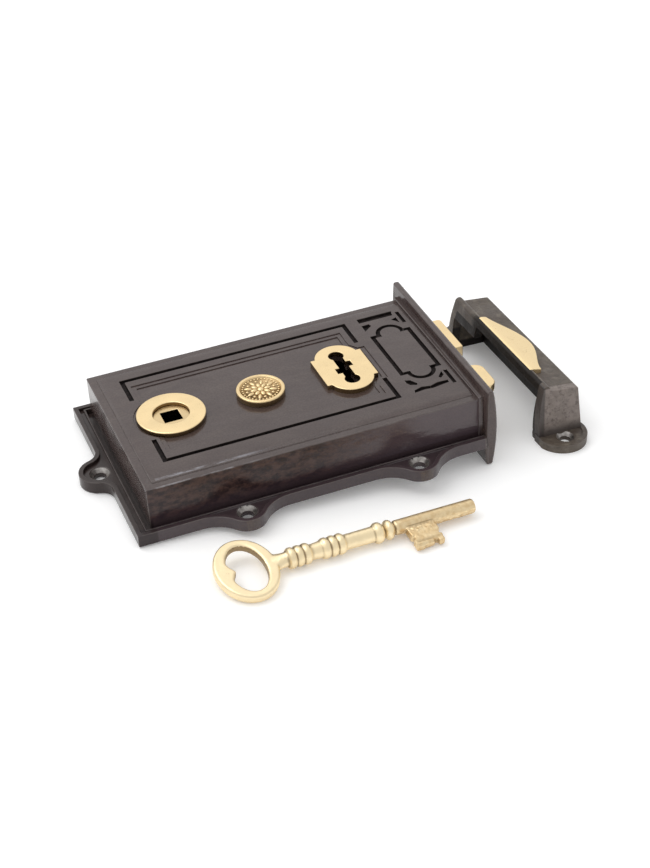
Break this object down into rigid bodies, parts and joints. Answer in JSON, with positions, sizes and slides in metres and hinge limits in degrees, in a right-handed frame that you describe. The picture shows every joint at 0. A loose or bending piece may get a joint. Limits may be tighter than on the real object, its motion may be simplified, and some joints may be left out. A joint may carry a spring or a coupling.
{
  "type": "rim box lock",
  "caption": "Cast-iron rim box lock with a sprung latch, a dead bolt worked by a key, brass spindle bush and escutcheon, shown with its box keep and its key.",
  "frame": {"origin": "the spindle's axis on the lock's back plane, which lies against the door", "axes": "+X to the forend and the bolts, +Y to the dead bolt's side, +Z out of the lock's face"},
  "size_m": [0.2213, 0.1621, 0.0415],
  "materials": {
    "lacquered_iron": "dark brown-black lacquer on sand-cast iron, glossy, lighter on worn edges",
    "keep_iron": "dark brown-grey lacquer on sand-cast iron, more matt",
    "satin_brass": "satin, linished",
    "badge_brass": "cast, darkened in the recesses",
    "key_brass": "cast and hand-filed, satin",
    "plate_steel": "black painted sheet steel",
    "bright_steel": "plain"
  },
  "bodies": {
    "lock": {"case": "lacquered_iron", "back_plate": "plate_steel", "back_plate_screws": "bright_steel", "spindle_bush": "satin_brass", "badge": "badge_brass", "escutcheon": "satin_brass", "latch_guide_stud": "bright_steel", "bolt_guide_stud": "bright_steel", "detent_spring": "bright_steel", "detent_spring_rivets": "bright_steel", "front_ward": "bright_steel", "back_ward": "bright_steel", "latch_spring": "bright_steel"},
    "follower": {"follower": "satin_brass"},
    "latch": {"latch_bolt": "satin_brass", "latch_tail": "bright_steel"},
    "dead_bolt": {"dead_bolt": "satin_brass"},
    "keep": {"keep_case": "keep_iron", "keep_lip": "satin_brass", "keep_lip_rivets": "satin_brass"},
    "key": {"key": "key_brass"}
  },
  "joints": [
    {"name": "follower_turn", "type": "hinge", "parent": "lock", "child": "follower", "pos_m": [0, 0, 0.011], "axis": [0, 0, 1], "range_deg": [-40, 0]},
    {"name": "latch_slide", "type": "slide", "parent": "lock", "child": "latch", "axis": [1, 0, 0], "range_m": [-0.0094, 0], "stiffness_N_per_m": 300, "springref_m": 0.01, "deforming": ["latch_spring"]},
    {"name": "dead_bolt_slide", "type": "slide", "parent": "lock", "child": "dead_bolt", "axis": [1, 0, 0], "range_m": [-0.0094, 0], "deforming": ["detent_spring"]},
    {"name": "keep_lift", "type": "slide", "parent": "lock", "child": "keep", "axis": [0.0548, 0, 0.9985], "range_m": [0, 0.03]},
    {"name": "key_lift", "type": "slide", "parent": "lock", "child": "key", "axis": [0.0548, 0, 0.9985], "range_m": [0, 0.03]}
  ],
  "couplings": [
    {"joint": "follower_turn", "follows": "latch_slide", "rad_per_m": 74.07}
  ]
}
